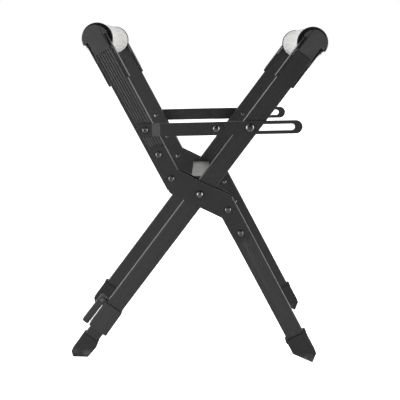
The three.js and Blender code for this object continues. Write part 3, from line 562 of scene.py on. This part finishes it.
class SAWHORSE_OT_rails(bpy.types.Operator):
    """Ringed pale sleeves, their inner tubes and the end flanges"""
    bl_idname = "sawhorse.rails"
    bl_label = "Rails"

    def execute(self, context):
        finishes, sizes = context.scene.sawhorse_finishes, context.scene.sawhorse_sizes
        pale = pale_sleeve_plastic("Pale polypropylene sleeve", finishes.sleeve)
        coat = powder_coat("Black powder-coated steel, rail tubes", finishes.steel)
        nylon = moulded_nylon("Glossy black nylon, flanges", finishes.flange, 0.2)
        for leg in ("a", "b"):
            self.sleeve(f"rail_sleeve_{leg}", sizes, pale)
            softened(f"rail_tube_{leg}", 0.3 * MM, coat)
            for side in SIDES:
                softened(f"rail_flange_{leg}_{side}", 0.6 * MM, nylon, 3, 22.0)
        return {"FINISHED"}

    def sleeve(self, node, sizes, material):
        """Closed profile carried round Y: the outside radius less the ring depth times the larger of
        |cos|^90 of pi y / pitch and 0.3 |cos|^12 of 4 pi y / pitch; the inside radius is even."""
        low, high = (np.array(corner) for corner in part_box(node))
        centre = (low + high) / 2
        outside = (high[2] - low[2]) / 2 - 0.1 * MM
        inside = outside - SLEEVE_WALL
        span = high[1] - low[1] - 2 * SLEEVE_LIP
        rings = round(span / sizes.ring_pitch)
        y = np.linspace(-span / 2, span / 2, rings * STATIONS_PER_RING + 1)
        seam = np.abs(np.cos(math.pi * rings * (y / span + 0.5))) ** 90
        fine = np.abs(np.cos(math.pi * rings * 4 * (y / span + 0.5))) ** 12
        depth = np.maximum(seam, 0.3 * fine)
        crown = [(value, outside - sizes.ring_depth * dip) for value, dip in zip(y, depth)]
        end = span / 2 + SLEEVE_LIP
        lip = [(end, outside - 1.2 * MM), (end, inside)]
        back = [(-point[0], point[1]) for point in reversed(lip)]
        profile = [(centre[1] + along, radius) for along, radius in crown + lip + back]
        points = turned_points(centre, profile, SLEEVE_COLUMNS)
        piece = grid_piece(f"{node}_finished", points, wrap_rows=True)
        along_profile = np.concatenate([depth, np.zeros(len(profile) - len(depth))])
        strength = np.repeat(along_profile, SLEEVE_COLUMNS)
        # The groove strength also sets the painted shade in the sleeve's material
        layer = piece.data.attributes.new("groove", "FLOAT", "POINT")
        layer.data.foreach_set("value", strength.astype(np.float32))
        smooth_by_angle(piece, 60.0)
        put_on(piece, node, material)


class SAWHORSE_OT_leg_tops(bpy.types.Operator):
    """Moulded caps of the leg tops and the steel straps inside them"""
    bl_idname = "sawhorse.leg_tops"
    bl_label = "Leg tops"

    def execute(self, context):
        finishes, sizes = context.scene.sawhorse_finishes, context.scene.sawhorse_sizes
        nylon = moulded_nylon("Black nylon, caps", finishes.nylon, 0.42)
        coat = powder_coat("Black powder-coated steel, straps", finishes.steel)
        for leg in ("a", "b"):
            for side in SIDES:
                softened(f"end_cap_{leg}_{side}", sizes.moulded_edge * 0.7, nylon, 3)
                softened(f"end_strap_{leg}_{side}", sizes.plate_edge, coat)
        return {"FINISHED"}


class SAWHORSE_OT_boots(bpy.types.Operator):
    """Rubber boots of the legs"""
    bl_idname = "sawhorse.boots"
    bl_label = "Boots"

    def execute(self, context):
        finishes, sizes = context.scene.sawhorse_finishes, context.scene.sawhorse_sizes
        rubber = moulded_rubber("Moulded black rubber", finishes.rubber)
        for node in ("boot_a_near", "boot_a_far", "boot_b_far", "boot_small"):
            softened(node, sizes.rubber_edge * 0.6, rubber, 3)
        return {"FINISHED"}


class SAWHORSE_OT_clamp(bpy.types.Operator):
    """Clamp of the levelling leg and its cam lever"""
    bl_idname = "sawhorse.clamp"
    bl_label = "Clamp"

    def execute(self, context):
        finishes, sizes = context.scene.sawhorse_finishes, context.scene.sawhorse_sizes
        nylon = moulded_nylon("Black nylon, clamp", finishes.clamp)
        softened("clamp_sleeve", sizes.moulded_edge * 0.7, nylon, 3)
        softened("clamp_lever", sizes.moulded_edge, nylon, 3, 35.0)
        return {"FINISHED"}


class SAWHORSE_OT_crossing(bpy.types.Operator):
    """Square cross tube, its black plug and the spacer on the axle"""
    bl_idname = "sawhorse.crossing"
    bl_label = "Crossing"

    def execute(self, context):
        finishes, sizes = context.scene.sawhorse_finishes, context.scene.sawhorse_sizes
        grey = satin_aluminium("Satin grey aluminium", finishes.cross_tube)
        nylon = moulded_nylon("Black nylon, plug and spacer", finishes.nylon)
        softened("cross_tube", sizes.tube_edge * 2, grey, 3)
        softened("cross_tube_plug", sizes.tube_edge, nylon, 2)
        softened("axle_spacer", sizes.tube_edge, nylon, 2)
        return {"FINISHED"}


class SAWHORSE_OT_stage(bpy.types.Operator):
    """Pale floor, soft lights and the camera"""
    bl_idname = "sawhorse.stage"
    bl_label = "Stage"

    def execute(self, context):
        scene = context.scene
        setup, finishes = scene.sawhorse_stage, scene.sawhorse_finishes
        self.camera(scene, setup.lens)
        half = setup.floor_side / 2
        mesh = bpy.data.meshes.new("floor")
        corners = [(-half, -half, 0), (half, -half, 0), (half, half, 0), (-half, half, 0)]
        mesh.from_pydata(corners, [], [(0, 1, 2, 3)])
        mesh.materials.append(pale_floor("Matt studio board", finishes.floor))
        floor = bpy.data.objects.new("floor", mesh)
        scene.collection.objects.link(floor)
        self.soft_light(scene, "key", (-1.1, -1.7, 2.3), (1.8, 1.4), setup.key_power)
        self.soft_light(scene, "fill", (1.6, -1.5, 1.7), (1.4, 1.4), setup.key_power * 0.4)
        # Low on the left, where the joggles of the stays mirror it and the flat faces do not
        self.soft_light(scene, "side", (-0.86, -1.83, 0.32), (0.3, 0.6), setup.key_power * 0.65)
        self.soft_light(scene, "back", (0.3, 1.9, 2.2), (2.2, 1.0), setup.key_power * 0.5)
        # Two upright strips give each bolt dome its pair of streaks
        for name, x in (("strip_left", -1.6), ("strip_right", 1.6)):
            self.soft_light(scene, name, (x, -1.0, 0.65), (0.7, 1.4), setup.strip_power)
        world = bpy.data.worlds.new("Bright studio")
        world.use_nodes = True
        world.node_tree.nodes.clear()
        # White behind and above, darker on the side that the front faces mirror
        towards = add_node(world.node_tree, "ShaderNodeTexCoord").outputs["Generated"]
        depth = add_node(world.node_tree, "ShaderNodeSeparateXYZ", inputs={0: towards}).outputs["Y"]
        strength = remap(world.node_tree, depth, -0.35, 0.1, setup.front_light, 1.0)
        white = {"Color": (1.0, 1.0, 1.0, 1.0), "Strength": strength}
        glow = add_node(world.node_tree, "ShaderNodeBackground", inputs=white)
        add_node(world.node_tree, "ShaderNodeOutputWorld", inputs={"Surface": glow.outputs[0]})
        scene.world = world
        scene.view_settings.view_transform = "Standard"
        return {"FINISHED"}

    def camera(self, scene, lens):
        """Looks along (sin yaw cos pitch, cos yaw cos pitch, -sin pitch), rolled about that line."""
        yaw, pitch, roll = (math.radians(angle) for angle in CAMERA_TURN)
        forward = Vector((math.sin(yaw) * math.cos(pitch), math.cos(yaw) * math.cos(pitch), -math.sin(pitch)))
        level = Vector((math.cos(yaw), -math.sin(yaw), 0.0))
        upright = level.cross(forward)
        right = level * math.cos(roll) + upright * math.sin(roll)
        up = upright * math.cos(roll) - level * math.sin(roll)
        lens_data = bpy.data.cameras.new("camera")
        lens_data.sensor_width = 36.0
        lens_data.lens = lens
        eye = bpy.data.objects.new("camera", lens_data)
        turn = Matrix((right, up, -forward)).transposed().to_4x4()
        eye.matrix_world = Matrix.Translation(CAMERA_PLACE) @ turn
        scene.collection.objects.link(eye)
        scene.camera = eye

    def soft_light(self, scene, name, place, size, power):
        """A rectangular light that faces the middle of the stand."""
        data = bpy.data.lights.new(name, "AREA")
        data.shape = "RECTANGLE"
        data.size, data.size_y = size
        data.energy = power
        lamp = bpy.data.objects.new(name, data)
        lamp.location = place
        lamp.rotation_euler = (AIM - Vector(place)).to_track_quat("-Z", "Y").to_euler()
        scene.collection.objects.link(lamp)


STEPS = (
    SAWHORSE_OT_leg_tubes, SAWHORSE_OT_plates, SAWHORSE_OT_stays, SAWHORSE_OT_bolts, SAWHORSE_OT_rails,
    SAWHORSE_OT_leg_tops, SAWHORSE_OT_boots, SAWHORSE_OT_clamp, SAWHORSE_OT_crossing, SAWHORSE_OT_stage,
)


class SAWHORSE_PT_panel(bpy.types.Panel):
    """Sizes, finishes and steps of the sawhorse"""
    bl_idname = "SAWHORSE_PT_panel"
    bl_label = "Sawhorse"
    bl_space_type = "VIEW_3D"
    bl_region_type = "UI"
    bl_category = "Sawhorse"

    def draw(self, context):
        for group in ("sawhorse_sizes", "sawhorse_finishes", "sawhorse_stage"):
            values = getattr(context.scene, group)
            box = self.layout.box()
            for name in values.bl_rna.properties.keys():
                if name not in {"rna_type", "name"}:
                    box.prop(values, name)
        for step in STEPS:
            self.layout.operator(step.bl_idname)


CLASSES = (SawhorseFinishes, SawhorseSizes, SawhorseStage, *STEPS, SAWHORSE_PT_panel)


def register():
    for item in CLASSES:
        bpy.utils.register_class(item)
    bpy.types.Scene.sawhorse_finishes = bpy.props.PointerProperty(type=SawhorseFinishes)
    bpy.types.Scene.sawhorse_sizes = bpy.props.PointerProperty(type=SawhorseSizes)
    bpy.types.Scene.sawhorse_stage = bpy.props.PointerProperty(type=SawhorseStage)


def unregister():
    del bpy.types.Scene.sawhorse_stage
    del bpy.types.Scene.sawhorse_sizes
    del bpy.types.Scene.sawhorse_finishes
    for item in reversed(CLASSES):
        bpy.utils.unregister_class(item)


def main():
    register()
    bpy.ops.sawhorse.leg_tubes()
    bpy.ops.sawhorse.plates()
    bpy.ops.sawhorse.stays()
    bpy.ops.sawhorse.bolts()
    bpy.ops.sawhorse.rails()
    bpy.ops.sawhorse.leg_tops()
    bpy.ops.sawhorse.boots()
    bpy.ops.sawhorse.clamp()
    bpy.ops.sawhorse.crossing()
    bpy.ops.sawhorse.stage()


if __name__ == "__main__":
    main()
